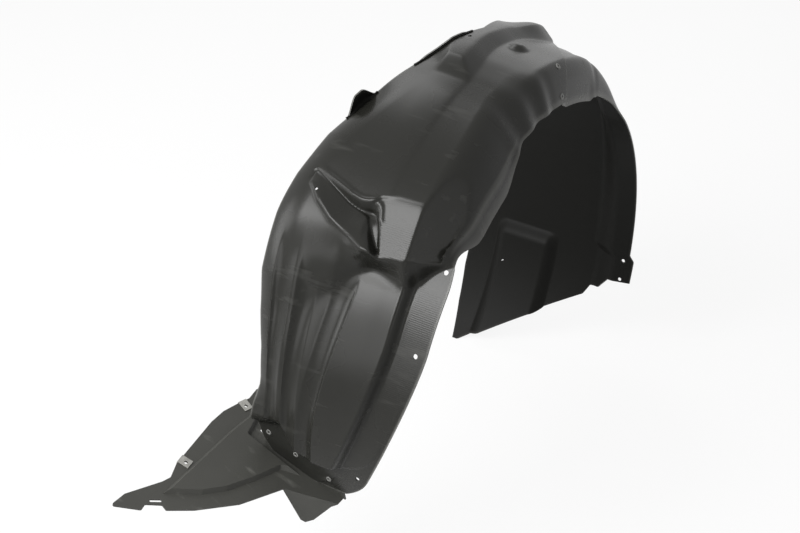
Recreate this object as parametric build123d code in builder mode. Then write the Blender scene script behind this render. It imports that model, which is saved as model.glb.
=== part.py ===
from build123d import *
import math
import os

# Wheel arch liner: two nested formed shells over the wheel, a lower shield and their fasteners.
# X runs rearward, Y inboard and Z up, from the wheel axis in the plane of the fender edge.
# An angle about the wheel axis is 0 at the rear, 90 at the top and 180 at the front.

# Sheet
sheet = 2.2
nest_gap = 0.4
strip_gap = 0.9

# Arch section, from the fender edge inboard
lip_radius = 350
crown_rise = 48
crown_lift = 8
fender_wall_run = 18
haunch_run = 50
rear_flange_width = 28
rear_slope_run = 44
rear_slope_depth = 18
corner_dip = 6
corner_fold = 28
corner_bulge = 8.5
fold_run = 9

# Inboard edge of the arch: angle and distance inboard of the fender edge
inboard_edge = [(-52, 262), (0, 255), (40, 225), (62, 160), (80, 132), (90, 144), (99, 158), (108, 173),
                (117, 189), (128, 203), (140, 208), (150, 206), (165, 203), (180, 208), (194, 208)]
# Turned-up stretches of the inboard edge: first and last angle, height
upstands = [(77, 98, 10), (104.5, 111.5, 13)]

# Haunch facets: three places each, as angle, distance inboard and height above the lip
bright_facet = [(125.6, 40, 47), (125.6, 78, 47.2), (134, 35.5, 39.4)]
dark_facet = [(115.3, 11.5, 31), (125.6, 39.2, 47.5), (129.5, -1, -2)]
dark_facet_outline = [(110, 10), (122, 55), (136, 50), (135, 20), (132.5, -5), (131, -40), (117, -40)]
bright_facet_size = (120, 90)
step_angle = 130
step_sweep = 6.3

# Scoop: three places of its flat face, its outline, its wall slopes and its hole
scoop_face = [(128.8, 84, 35), (125.3, 188, 35), (136.4, 88, 58)]
scoop_outline = [(125, 185), (129, 82), (136.5, 78), (136.6, 92), (133.7, 138), (129.8, 176), (126.9, 188)]
scoop_depth = 30
scoop_corner = 4.5
scoop_outer_slope = 18
scoop_inner_slope = 30
scoop_hole_radius = 2.4
scoop_hole_at = (128.4, 177)

# Plateau and blister at the top
plateau_front = 98
plateau_outboard = 96
plateau_wall_run = 22
plateau_height = 13
plateau_rear_lift = 9
plateau_hole_radius = 3
plateau_hole_at = (86, 128)
blister_at = (80, 78)
blister_height = 6
blister_radius = 13
blister_top_radius = 6

# Front leg
leg_flange_width = 27
leg_wall_run = 15
leg_panel_height = 14
leg_panel_crown = 5
foot_radius = 120
foot_y = 98
foot_z = 64
strip_width = 26
strip_top = 19
strip_wall_slope = 23
lip_tuck = 68
flange_hole_radius = 3.2
flange_hole_setback = 12
flange_hole_angles = (133.6, 150.5, 182.5)

# Flutes of the front leg: edge at the top and foot, width at the top and foot, depth, first angle
flutes = [(93, 116, 50, 24, 9, 136), (168, 160, -44, -20, 8, 137), (203, 184, -30, -16, 6, 134)]

# Seam between the shells
seam_x = 61
seam_slant = 1.5
seam_rear_x = 183
seam_overlap = 25
seam_rivets_at = ((82.2, 2.6), (80.4, 18.5))

# Rear leg
rear_foot = [(-40, -98), (58, -124), (67, -142), (330, -302)]
pad_height = 12
pad_wall_run = 20
pad_outboard = 137
pad_inboard = 231
pad_top = -15
pad_hole_radius = 4
pad_hole_at = (-21.5, 214)
tab_reach = 6
tab_top = -8
tab_hole_radius = 3
tab_hole_y = 5
tab_hole_spacing = 32
tab_hole_angle = -12.8

# Lower shield, on a plane that rises inboard under the foot of the front leg
shield_sheet = 2.4
shield_slope = 21.8
shield_edge_y = 115
shield_edge_z = -62
shield_edge_x = -347
shield_front = [(169, 212), (139, 190), (141, 181), (126, 167), (118, 169), (94, 144), (60, 97), (50, 74),
                (35, 39)]
shield_inner = [(-29, 5), (-29, -9), (112, -9), (112, -60)]
shield_back = [(157, -60), (154, -39), (160, -16), (164, 3), (164, 28), (153, 110), (145, 130), (148, 142),
               (168, 188)]
shield_corner = 2.5
shield_field = [(136, 155), (101, 121), (83, 94), (67, 56), (55, 19), (31, 7), (116, 7), (128, -40),
                (135, -39), (138, 21)]
shield_step = 6
shield_step_taper = 35
flap_outline = [(0, 2), (0, 0), (36, -42), (43, -44), (52, -36), (66, -6), (72, 0), (72, 2)]
slot_at = (135.5, 168.5)
slot_length = 15
slot_width = 3.5
slot_turn = 45
web_outboard = 85
web_inboard = 203

# Fasteners
rivet_head_radius = 4
rivet_head_height = 1.1
rivet_shank_radius = 2.4
rivet_clearance = 0.08
rivet_seat = 0.12
strip_rivets_at = ((180.1, 193), (183.2, 152), (186.3, 103))
nut_length = 17
nut_width = 13
nut_sheet = 1
nut_hole_radius = 2.5
nut_clearance = 0.05
nuts_at = ((154.2, 101), (157, -27.5))
nut_turns = (7.6, -14.6)


def ramp(value, start, end):
    """Smooth rise from 0 at start to 1 at end."""
    t = min(max((value - start) / (end - start), 0), 1)
    return t * t * (3 - 2 * t)


def between(value, knots):
    """Straight line through pairs of place and height."""
    for (here, low), (there, high) in zip(knots, knots[1:]):
        if value <= there:
            return low + (high - low) * max(value - here, 0) / (there - here)
    return knots[-1][1]


def lip_line(angle):
    """Distance of the fender edge inboard of its plane."""
    bulge = corner_bulge * ramp(angle, 96, 113) * (1 - ramp(angle, 122, 132))
    return lip_tuck * (max(angle - 150, 0) / 37) ** 1.53 - tab_reach * ramp(tab_top - angle, 0, 2) - bulge


def inboard_line(angle):
    return between(angle, inboard_edge)


def fender_edge(angle, inset):
    """Height above the lip of the wall, haunch or flange next to the fender edge."""
    front = ramp(angle, 86, 104)
    rear = 1 - ramp(angle, 36, 62)
    wall = crown_rise * (1 - (1 - min(inset / fender_wall_run, 1)) ** 3)
    haunch = crown_rise * (1 - (1 - min(inset / haunch_run, 1)) ** 2)
    dip = ramp(angle, 90, 112) * (1 - ramp(angle, 122, 133)) * (1 - ramp(inset, 0, 0.8 * haunch_run))
    fold = ramp(angle, 99, 112) * (1 - ramp(angle, 124, 131)) * max(1 - inset / fold_run, 0) ** 2
    haunch -= corner_dip * dip + corner_fold * fold
    depth = rear_slope_depth + (crown_rise - rear_slope_depth) * ramp(angle, -5, 45)
    slope = depth * ramp(inset, rear_flange_width, rear_flange_width + rear_slope_run)
    return (1 - front) * (1 - rear) * wall + front * haunch + rear * slope


def plateau_edge(angle):
    return plateau_outboard - 14 * ramp(angle, plateau_front - 16, plateau_front)


def plateau(angle, y):
    """Raised field at the top, inboard, with its rear end lifted further."""
    edge = plateau_edge(angle)
    field = ramp(plateau_front - angle, 0, 6) * ramp(y, edge, edge + plateau_wall_run) * ramp(angle, 30, 56)
    return field * (plateau_height + plateau_rear_lift * ramp(72 - angle, 0, 8))


def flute_edge(angle, sizes):
    return sizes[0] + (sizes[1] - sizes[0]) * ramp(angle, 140, 178)


def flute(angle, y, sizes):
    """Depth of a flute, steep beside its edge and shallow on its other side."""
    down = ramp(angle, 140, 178)
    width = sizes[2] + (sizes[3] - sizes[2]) * down
    share = min(max((y - flute_edge(angle, sizes)) / width, 0), 1)
    length = ramp(angle, sizes[5], sizes[5] + 7) * (1 - 0.45 * down) * (1 - ramp(angle, 180, 187))
    return sizes[4] * math.sin(math.pi * share ** 0.7) * length


def leg(angle, y):
    """Front leg above the lip: a fluted panel raised inside the flange."""
    panel = ramp(y - lip_line(angle), leg_flange_width, leg_flange_width + leg_wall_run)
    height = leg_panel_height + leg_panel_crown * ramp(y, 60, 130)
    return panel * (height - sum(flute(angle, y, sizes) for sizes in flutes))


def pad(angle, y):
    """Seat pressed towards the wheel on the rear leg."""
    low, high = pad_wall_run / 2, -pad_wall_run / 2
    field = ramp(y, pad_outboard + high, pad_outboard + low)
    field -= ramp(y, pad_inboard + high, pad_inboard + low)
    return pad_height * field * (1 - ramp(angle, pad_top + 1.5, pad_top + 5.5))


def skin(angle, y):
    """Radius of the outer face of the front shell about the wheel axis."""
    inset = y - lip_line(angle)
    upper = fender_edge(angle, inset)
    upper += crown_lift * ramp(inset, 20, 130) * ramp(angle, 20, 60) * (1 - ramp(angle, 100, 126))
    upper += plateau(angle, y) - pad(angle, y)
    start = step_angle + step_sweep * ramp(inset, -5, 70) - 3 * ramp(inset, 100, 140)
    run = 4.5 - 1.5 * ramp(inset, 40, 75) + 13 * ramp(inset, 90, 150)
    down = ramp(angle, start, start + run)
    return lip_radius + upper * (1 - down) + leg(angle, y) * down


def under_skin(angle, y, depth):
    """Point of the section at an angle, as inboard distance and radius, at a depth under the skin."""
    reach = 0.5
    slope = (skin(angle, y + reach) - skin(angle, y - reach)) / (2 * reach)
    length = math.hypot(1, slope)
    return (y + depth * slope / length, skin(angle, y) - depth / length)


def section_lines(angle):
    """Places across the sheet that keep to its features from section to section."""
    start = lip_line(angle)
    end = inboard_line(angle)
    on_rear = 1 - ramp(angle, -6, 50)
    on_leg = ramp(angle, 110, 138)
    flat = 5 + (leg_flange_width - 5) * ramp(angle, 131, 138) + (rear_flange_width - 5) * on_rear
    edge_run = fender_wall_run + (haunch_run - fender_wall_run) * ramp(angle, 84, 104)
    edge_run += (leg_flange_width + leg_wall_run - haunch_run) * ramp(angle, 131, 140)
    edge_run += (rear_flange_width + rear_slope_run - fender_wall_run) * on_rear
    edges = [flute_edge(angle, sizes) for sizes in flutes]
    rise = plateau_edge(angle)
    inner = rise + plateau_wall_run
    gap = (rise - start - edge_run) / 3
    on_top = [rise - 2 * gap, rise - gap, rise, inner, (2 * inner + end) / 3, (inner + 2 * end) / 3]
    front_leg = [edges[0], edges[0] + 14, edges[1] - 14, edges[1], edges[2] - 10, edges[2]]
    half = pad_wall_run / 2
    pads = [pad_outboard - half, pad_outboard + half, pad_inboard - half, pad_inboard + half]
    rear_leg = pads + [(2 * pads[3] + end) / 3, (pads[3] + 2 * end) / 3]
    lines = [start, start + flat, start + edge_run]
    for leg_line, rear_line, top_line in zip(front_leg, rear_leg, on_top):
        lines.append(on_leg * leg_line + on_rear * rear_line + (1 - on_leg - on_rear) * top_line)
    lines.append(end)
    for index in range(1, len(lines)):
        least = lines[index - 1] + 3
        most = end - 3 * (len(lines) - 1 - index)
        lines[index] = min(max(lines[index], least), most)
    return lines


# Steps between the lines of a section
line_steps = (2, 3, 2, 2, 3, 3, 2, 2, 1)

# Blocks that the front shell is the difference of: depth under the lip and length of their sloping edges
block_depth = 100
block_edge = 11


def across(angle):
    lines = section_lines(angle)
    return [low + (high - low) * step / steps for low, high, steps in zip(lines, lines[1:], line_steps)
            for step in range(steps)] + [lines[-1]]


def place(angle, y, radius):
    turn = math.radians(angle)
    return Vector(radius * math.cos(turn), y, radius * math.sin(turn))


def section_plane(angle):
    turn = math.radians(angle)
    return Plane(origin=(0, 0, 0), x_dir=(0, 1, 0), z_dir=(math.sin(turn), 0, -math.cos(turn)))


def skin_plane(angle, y, depth=0):
    """Plane on the skin with its Z axis along the outward normal of the section."""
    turn = math.radians(angle)
    inboard, radius = under_skin(angle, y, depth)
    deeper, lower = under_skin(angle, y, depth + 1)
    spot = place(angle, inboard, radius)
    normal = spot - place(angle, deeper, lower)
    return Plane(origin=spot, x_dir=(math.sin(turn), 0, -math.cos(turn)), z_dir=normal)


def plane_through(places):
    """Plane through three places, with its Z axis away from the wheel axis."""
    first, second, third = [place(angle, y, lip_radius + height) for angle, y, height in places]
    normal = (second - first).cross(third - first)
    if normal.X * first.X + normal.Z * first.Z < 0:
        normal = normal * -1
    return Plane(origin=(first + second + third) * (1 / 3), x_dir=second - first, z_dir=normal)


def on_plane(plane, outline):
    """Outline given as angles and inboard distances, in the coordinates of a plane over the haunch."""
    points = [plane.to_local_coords(place(angle, y, lip_radius + crown_rise)) for angle, y in outline]
    return [(point.X, point.Y) for point in points]


def closed_section(angle, outline):
    """Points of an outline in the half-plane at an angle, from inboard distances and radii."""
    return [place(angle, y, radius) for y, radius in outline]


def flat_sided(sections):
    """Solid through sections of equally many points, with two flat triangles from side to side."""
    faces = [Face(Wire.make_polygon(section)) for section in (sections[0], sections[-1])]
    for here, there in zip(sections, sections[1:]):
        for index in range(len(here)):
            near, far = there[index - 1], there[index]
            faces.append(Face(Wire.make_polygon([here[index - 1], here[index], far])))
            faces.append(Face(Wire.make_polygon([here[index - 1], far, near])))
    return Solid(Shell(faces))


def sheet_section(angle, depth):
    """Closed section of a sheet whose outer face is at a depth under the skin."""
    outer = [under_skin(angle, y, depth) for y in across(angle)]
    inner = [under_skin(angle, y, depth + sheet) for y in across(angle)]
    return closed_section(angle, outer + inner[::-1])


def block_section(angle, depth):
    """Closed section of all that lies under the skin, down to a floor, past both edges where it is a tool."""
    points = [under_skin(angle, y, depth) for y in across(angle)]
    near, far = points[0], points[-1]
    near_foot = under_skin(angle, lip_line(angle), depth + block_edge)
    far_foot = under_skin(angle, inboard_line(angle), depth + block_edge)
    if depth:
        past = 3 * depth / block_edge
        near = (near[0] + past * (near_foot[1] - near[1]), near[1] - past * (near_foot[0] - near[0]))
        far = (far[0] - past * (far_foot[1] - far[1]), far[1] + past * (far_foot[0] - far[0]))
        near_foot = (near[0], near[1] - sheet)
        far_foot = (far[0], far[1] - sheet)
        points = [near] + points + [far]
    floor = lip_radius - block_depth - 3 * depth
    bottom = [(far_foot[0] - sheet, floor), (near_foot[0] + sheet, floor)]
    return closed_section(angle, points + [far_foot] + bottom + [near_foot])


def stations(spans):
    """Angles of the sections: each span has a start, an end and a number of steps."""
    angles = [start + (end - start) * step / steps for start, end, steps in spans for step in range(steps)]
    return angles + [spans[-1][1]]


seam_span = (46, 90, 7)
haunch_spans = [(90, 100, 4), (100, 129, 5), (129, 142, 6)]
leg_spans = [(142, 170, 4), (170, 189.5, 3)]
rear_spans = [(-52, -18, 3), (-18, -6, 5), (-6, 46, 5)]
front_stations = stations([seam_span] + haunch_spans + leg_spans)
rear_stations = stations(rear_spans + [seam_span])
nest_depth = sheet + nest_gap
seam_corner_y = (seam_rear_x - seam_x) / seam_slant
near_y = -40
far_y = 400


def seam_outline(overlap):
    """Plan of all that lies behind the seam, moved forward by an overlap."""
    points = [(seam_x + near_y * seam_slant, near_y), (seam_rear_x, seam_corner_y), (seam_rear_x, far_y)]
    return [(x - overlap, y) for x, y in points]


def strip_cut(depth):
    """Space over the strip along the foot of the front leg, outside the raised panel."""
    slope = math.radians(strip_wall_slope)
    panel_end = foot_radius - strip_width - depth / math.cos(slope)
    half = 0.3 * lip_radius
    with BuildPart() as space:
        with BuildSketch(Plane.YZ.offset(-lip_radius - half)):
            with BuildLine():
                Polyline((near_y, foot_z), (foot_y, foot_z), (foot_y + foot_radius, strip_top),
                         (far_y, strip_top), (far_y, -lip_radius), (near_y, -lip_radius), close=True)
            make_face()
        extrude(amount=2 * half)
        with Locations(Plane(origin=(-lip_radius, foot_y, foot_z), z_dir=(1, 0, 0))):
            spread = half * math.tan(slope)
            Cone(panel_end - spread, panel_end + spread, 2 * half, mode=Mode.SUBTRACT)
        Cylinder(lip_radius - depth + 0.05, 4 * far_y, rotation=(90, 0, 0), mode=Mode.SUBTRACT)
    return space.part


def front_block(depth):
    """All that lies under the front shell's outer face, or at a depth under it."""
    face = plane_through(scoop_face)
    outer_wall = depth * math.tan(math.radians(45 - scoop_outer_slope / 2))
    inner_wall = depth * math.tan(math.radians(45 - scoop_inner_slope / 2))
    blister = skin_plane(*blister_at, depth)
    with BuildPart() as block:
        add(flat_sided([block_section(station, depth) for station in front_stations]))
        # Haunch facets
        with BuildSketch(plane_through(bright_facet).offset(-depth)):
            Rectangle(bright_facet_size[0] + 2 * depth, bright_facet_size[1] + 2 * depth)
        extrude(amount=crown_rise, mode=Mode.SUBTRACT)
        dark = plane_through(dark_facet)
        with BuildSketch(dark.offset(-depth)):
            with BuildLine():
                Polyline(*on_plane(dark, dark_facet_outline), close=True)
            make_face()
            if depth:
                offset(amount=depth, mode=Mode.REPLACE)
        extrude(amount=crown_rise, mode=Mode.SUBTRACT)
        # Scoop: its body under the flat face, then the pocket over it
        with BuildSketch(face.offset(-depth)) as body:
            with BuildLine():
                Polyline(*on_plane(face, scoop_outline), close=True)
            make_face()
            fillet(body.vertices(), radius=scoop_corner)
            if depth:
                offset(amount=-outer_wall, mode=Mode.REPLACE)
        extrude(amount=-scoop_depth, taper=-scoop_outer_slope)
        with BuildSketch(face.offset(-depth)) as pocket:
            with BuildLine():
                Polyline(*on_plane(face, scoop_outline), close=True)
            make_face()
            fillet(pocket.vertices(), radius=scoop_corner)
            if depth:
                offset(amount=inner_wall, mode=Mode.REPLACE)
        extrude(amount=0.6 * crown_rise, taper=-scoop_inner_slope, mode=Mode.SUBTRACT)
        # Blister
        with Locations(blister):
            Cone(2 * blister_radius - blister_top_radius, blister_top_radius, 2 * blister_height)
        # Strip along the foot
        add(strip_cut(depth), mode=Mode.SUBTRACT)
    return block.part


def upstand_sections(first, last, height):
    """Sections of a turned-up stretch of the inboard edge, which tapers off at both ends."""
    sections = []
    for angle in stations([(first, last, 6)]):
        end = inboard_line(angle) - sheet / 8
        foot = skin(angle, end) - sheet / 2
        top = foot + sheet + height * ramp(angle, first, first + 3) * (1 - ramp(angle, last - 3, last))
        with BuildSketch(section_plane(angle)) as section:
            with BuildLine():
                Polyline((end - sheet, foot), (end, foot), (end, top), (end - sheet, top), close=True)
            make_face()
        sections.append(section.sketch)
    return sections


with BuildPart() as front_arch_shell:
    add(front_block(0))
    add(front_block(sheet), mode=Mode.SUBTRACT)
    for first, last, height in upstands:
        loft(sections=upstand_sections(first, last, height), ruled=True)
    # Rear edge at the seam
    with BuildSketch(Plane.XY.offset(lip_radius / 3)):
        with BuildLine():
            Polyline(*seam_outline(0), (2 * lip_radius, far_y), (2 * lip_radius, near_y), close=True)
        make_face()
    extrude(amount=lip_radius, mode=Mode.SUBTRACT)
    # Round foot
    with BuildSketch(Plane.YZ.offset(-2 * lip_radius)):
        with Locations((foot_y, foot_z - lip_radius / 2)):
            Rectangle(far_y, lip_radius)
        with Locations((foot_y, foot_z)):
            Circle(foot_radius, mode=Mode.SUBTRACT)
    extrude(amount=2 * lip_radius, mode=Mode.SUBTRACT)
    # Holes
    for angle in flange_hole_angles:
        with Locations(skin_plane(angle, lip_line(angle) + flange_hole_setback)):
            Cylinder(flange_hole_radius, 8 * sheet, mode=Mode.SUBTRACT)
    with Locations(skin_plane(*plateau_hole_at)):
        Cylinder(plateau_hole_radius, 8 * sheet, mode=Mode.SUBTRACT)
    with Locations(skin_plane(*scoop_hole_at)):
        Cylinder(scoop_hole_radius, 20 * sheet, mode=Mode.SUBTRACT)
    for angle, y in seam_rivets_at:
        with Locations(skin_plane(angle, y)):
            Cylinder(rivet_shank_radius + rivet_clearance, 6 * sheet, mode=Mode.SUBTRACT)
    for angle, y in strip_rivets_at:
        with Locations(Plane(origin=place(angle, y, lip_radius), z_dir=place(angle, 0, 1))):
            Cylinder(rivet_shank_radius + rivet_clearance, 4 * sheet, mode=Mode.SUBTRACT)

with BuildPart() as rear_arch_shell:
    add(flat_sided([sheet_section(station, nest_depth) for station in rear_stations]))
    # Front edge under the seam
    with BuildSketch(Plane.XY.offset(lip_radius / 3)):
        with BuildLine():
            Polyline(*seam_outline(seam_overlap), (-lip_radius, far_y), (-lip_radius, near_y), close=True)
        make_face()
    extrude(amount=lip_radius, mode=Mode.SUBTRACT)
    # Slanted foot with its notch
    with BuildSketch(Plane.YZ):
        with BuildLine():
            Polyline(*rear_foot, (330, -600), (-40, -600), close=True)
        make_face()
    extrude(amount=2 * lip_radius, mode=Mode.SUBTRACT)
    # Holes
    with Locations(skin_plane(*pad_hole_at)):
        Cylinder(pad_hole_radius, 16 * sheet, mode=Mode.SUBTRACT)
    tab_place = place(tab_hole_angle, tab_hole_y, lip_radius)
    with Locations(Plane(origin=tab_place, x_dir=(0, 1, 0), z_dir=place(tab_hole_angle, 0, 1))):
        with GridLocations(0, tab_hole_spacing, 1, 2):
            Cylinder(tab_hole_radius, 16 * sheet, mode=Mode.SUBTRACT)
    for angle, y in seam_rivets_at:
        with Locations(skin_plane(angle, y)):
            Cylinder(rivet_shank_radius + rivet_clearance, 8 * sheet, mode=Mode.SUBTRACT)


slope = math.radians(shield_slope)
shield_plane = Plane(origin=(shield_edge_x, shield_edge_y, shield_edge_z),
                     x_dir=(0, math.cos(slope), math.sin(slope)),
                     z_dir=(0, -math.sin(slope), math.cos(slope)))
web_radius = lip_radius - sheet - strip_gap


def shield_height(y):
    """Height of the underside of the shield's plane."""
    return shield_edge_z + (y - shield_edge_y) * math.tan(slope)


with BuildPart() as shield_web:
    with BuildSketch(Plane.YZ.offset(-lip_radius)):
        with BuildLine():
            Polyline((web_outboard, shield_height(web_outboard) + shield_sheet / 2),
                     (web_inboard, shield_height(web_inboard) + shield_sheet / 2),
                     (web_inboard, foot_z / 2), (web_outboard, foot_z / 2), close=True)
        make_face()
        with Locations((foot_y, foot_z)):
            Circle(foot_radius - strip_width + 1, mode=Mode.SUBTRACT)
    extrude(amount=lip_radius / 5)
    Cylinder(web_radius, 2 * far_y, rotation=(90, 0, 0), mode=Mode.INTERSECT)
    Cylinder(web_radius - shield_sheet, 3 * far_y, rotation=(90, 0, 0), mode=Mode.SUBTRACT)

with BuildPart() as lower_shield:
    # Panel
    with BuildSketch(shield_plane) as panel:
        with BuildLine():
            Polyline(*shield_front, *shield_inner, *shield_back, close=True)
        make_face()
        fillet(panel.vertices(), radius=shield_corner)
    extrude(amount=shield_sheet)
    # Raised field
    for level, mode in ((shield_sheet, Mode.ADD), (0, Mode.SUBTRACT)):
        with BuildSketch(shield_plane.offset(level)):
            with BuildLine():
                Polyline(*shield_field, close=True)
            make_face()
        extrude(amount=shield_step, taper=shield_step_taper, mode=mode)
    # Web behind the strip of the front leg
    add(shield_web.part)
    # Deflector lip under the outboard edge
    flap_start = shield_plane.from_local_coords(Vector(*shield_front[-1], 0))
    flap_end = shield_plane.from_local_coords(Vector(*shield_inner[0], 0))
    along = flap_end - flap_start
    with BuildSketch(Plane(origin=flap_start, x_dir=along, z_dir=(along.Y, -along.X, 0))):
        with BuildLine():
            Polyline(*flap_outline, close=True)
        make_face()
    extrude(amount=-shield_sheet)
    # Slot and holes
    with BuildSketch(shield_plane):
        with Locations(slot_at):
            SlotOverall(slot_length, slot_width, rotation=slot_turn)
        for (edge, forward), turn in zip(nuts_at, nut_turns):
            back = Vector(-nut_length / 2, 0).rotate(Axis.Z, turn)
            with Locations((edge + back.X, forward + back.Y)):
                Circle(nut_hole_radius + nut_sheet / 2)
    extrude(amount=shield_sheet, both=True, mode=Mode.SUBTRACT)
    for angle, y in strip_rivets_at:
        with Locations(Plane(origin=place(angle, y, lip_radius), z_dir=place(angle, 0, 1))):
            Cylinder(rivet_shank_radius + rivet_clearance, 8 * sheet, mode=Mode.SUBTRACT)


def rivet(stack):
    """Rivet with its head on the plane at zero and its shank through a stack of sheets."""
    with BuildPart() as body:
        Cylinder(rivet_head_radius, rivet_head_height, align=(Align.CENTER, Align.CENTER, Align.MIN))
        Cylinder(rivet_shank_radius, stack + rivet_head_height, align=(Align.CENTER, Align.CENTER, Align.MAX))
    return body.part


def seam_sag(angle, y):
    """Depth under the skin of the flat between two sections of the shells at the seam."""
    first, last, steps = seam_span
    half = (last - first) / steps / 2
    from_middle = (angle - first) % (2 * half) - half
    sag = skin(angle, y) * (1 - math.cos(math.radians(half)) / math.cos(math.radians(from_middle)))
    return sag * (skin(angle, y) - under_skin(angle, y, 1)[1])


strip_stack = sheet + strip_gap + shield_sheet + 2 * rivet_seat
with BuildPart() as strip_rivets:
    for angle, y in strip_rivets_at:
        with Locations(Plane(origin=place(angle, y, lip_radius + 2 * rivet_seat), z_dir=place(angle, 0, 1))):
            add(rivet(strip_stack + rivet_seat))

seam_stack = 2 * sheet + nest_gap + 2 * rivet_seat
with BuildPart() as seam_rivets:
    for angle, y in seam_rivets_at:
        with Locations(skin_plane(angle, y, seam_sag(angle, y) - rivet_seat)):
            add(rivet(seam_stack))

with BuildPart() as shield_nuts:
    for (edge, forward), turn in zip(nuts_at, nut_turns):
        gap = nut_clearance
        leaf = gap + nut_sheet
        reach = nut_length - 2 * nut_sheet
        spot = shield_plane * Location((edge, forward, 0), (0, 0, turn))
        with BuildSketch(Plane(spot) * Location((0, nut_width / 2, 0), (90, 0, 0))):
            with BuildLine():
                Polyline((-reach, shield_sheet + gap), (gap, shield_sheet + gap), (gap, -gap), (-reach, -gap),
                         (-reach, -leaf), (leaf, -leaf), (leaf, shield_sheet + leaf),
                         (-reach, shield_sheet + leaf), close=True)
            make_face()
        extrude(amount=nut_width)
        with Locations(spot * Location((-nut_length / 2, 0, 0))):
            Cylinder(nut_hole_radius, 8 * nut_sheet, mode=Mode.SUBTRACT)

os.makedirs("parts", exist_ok=True)
nodes = {"front_arch_shell": front_arch_shell, "rear_arch_shell": rear_arch_shell,
         "lower_shield": lower_shield, "strip_rivets": strip_rivets, "seam_rivets": seam_rivets,
         "shield_nuts": shield_nuts}
for name, node in nodes.items():
    node.part.label = name
    export_step(node.part, f"parts/{name}.step")
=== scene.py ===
import math

import bpy
import numpy as np
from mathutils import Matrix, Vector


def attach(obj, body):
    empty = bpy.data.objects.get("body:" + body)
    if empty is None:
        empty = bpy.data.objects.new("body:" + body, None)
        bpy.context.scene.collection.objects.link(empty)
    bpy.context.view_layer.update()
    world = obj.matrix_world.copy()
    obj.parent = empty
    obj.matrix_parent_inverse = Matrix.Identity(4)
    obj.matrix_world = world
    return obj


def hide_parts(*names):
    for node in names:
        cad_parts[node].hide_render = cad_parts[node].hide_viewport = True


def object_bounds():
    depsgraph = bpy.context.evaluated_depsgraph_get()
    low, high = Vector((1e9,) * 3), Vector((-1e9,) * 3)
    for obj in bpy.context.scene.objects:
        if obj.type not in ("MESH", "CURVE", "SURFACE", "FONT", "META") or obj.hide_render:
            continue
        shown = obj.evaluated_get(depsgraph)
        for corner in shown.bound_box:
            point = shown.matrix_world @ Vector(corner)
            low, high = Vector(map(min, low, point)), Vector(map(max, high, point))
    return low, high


# Wheel arch liner in its looks: two formed shells, a lower shield, hollow rivets and spring nuts.
# Sizes and places are in millimetres, as in the part's source, and become metres in the meshes.
# X runs rearward, Y inboard and Z up, from the wheel axis in the plane of the fender edge.
# An angle about the wheel axis is in degrees, 0 at the rear, 90 at the top and 180 at the front.
# Where no comment says otherwise, two numbers in brackets are where a form begins to rise or fall and
# where it has done so, and four are where a form begins, is full, begins to end and has ended.

mm = 0.001
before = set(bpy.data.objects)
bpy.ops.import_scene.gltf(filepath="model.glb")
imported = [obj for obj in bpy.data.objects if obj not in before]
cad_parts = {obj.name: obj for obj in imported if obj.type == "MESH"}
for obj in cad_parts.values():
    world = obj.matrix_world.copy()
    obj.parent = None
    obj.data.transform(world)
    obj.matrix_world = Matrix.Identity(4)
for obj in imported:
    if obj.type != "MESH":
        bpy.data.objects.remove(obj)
cad_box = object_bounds()

# Sheet, and depth of the rear shell under the face that the front shell follows
sheet = 2.2
nest_depth = 2.6

# Fender edge: its radius, and how far it stands inboard or outboard of its plane along the arch
lip_radius = 350
corner_bulge = 8.5
bulge_stretch = (96, 113, 122, 132)
lip_tuck = 68
tuck_start = 150
tuck_run = 37
tuck_power = 1.53
lip_wave_height = 1.6
lip_wave_length = 7.2
lip_wave_stretch = (84, 90, 101, 106)
leg_reach = 12
leg_reach_start = (124, 138)
rear_reach = 4.5
rear_reach_end = (45, 62)
tab_reach = 8
tab_top = (-10, -8)
foot_corner_cut = 12
foot_corner_start = 183
foot_corner_run = 5

# Section next to the fender edge: wall at the top, haunch in front, flange and slope at the rear
crown_rise = 48
fender_wall_run = 32
rear_wall_run = 16
wall_widens = (52, 68)
wall_roundness = 2.6
haunch_run = 50
haunch_start = (86, 104)
rear_flange_width = 28
rear_slope_run = 44
rear_slope_depth = 18
rear_slope_deepens = (-5, 45)
rear_slope_end = (40, 68)

# Corner of the haunch: a dip, a fold along the edge and a drop beside it
corner_dip = 6
dip_run = 40
dip_stretch = (90, 112, 122, 133)
corner_fold = 14
fold_run = 5
corner_drop = 14
drop_run = 22
corner_stretch = (99, 112, 124, 131)

# Lift of the crown, inboard of the wall
crown_lift = 8
crown_lift_across = (20, 130)
crown_lift_stretch = (20, 60, 100, 126)

# Inboard edge of the arch: angle and distance inboard of the fender edge's plane
inboard_edge = [(-52, 260), (-45, 268), (-36, 279), (-26, 287), (-5, 288), (15, 272), (40, 230),
                (62, 160), (80, 132), (90, 144), (99, 162), (108, 186), (117, 209), (126, 221), (134, 226),
                (145, 228), (153, 219), (160, 208), (168, 202), (174, 206), (178, 210), (194, 212)]
far_roll_depth = 13
far_roll_run = 42
far_roll_stretch = (98, 112, 166, 174)

# Upstands of the inboard edge: first angle, last angle and height, and the bend at their root
upstands = [(83.5, 98, 3.5), (106, 113, 22)]
upstand_taper = 3
upstand_least_height = 0.2
upstand_inset = 0.3
upstand_bend = 2.5
upstand_bend_end = 0.35
upstand_root_depth = 0.6
upstand_rows = 60
upstand_columns = 9

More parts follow.
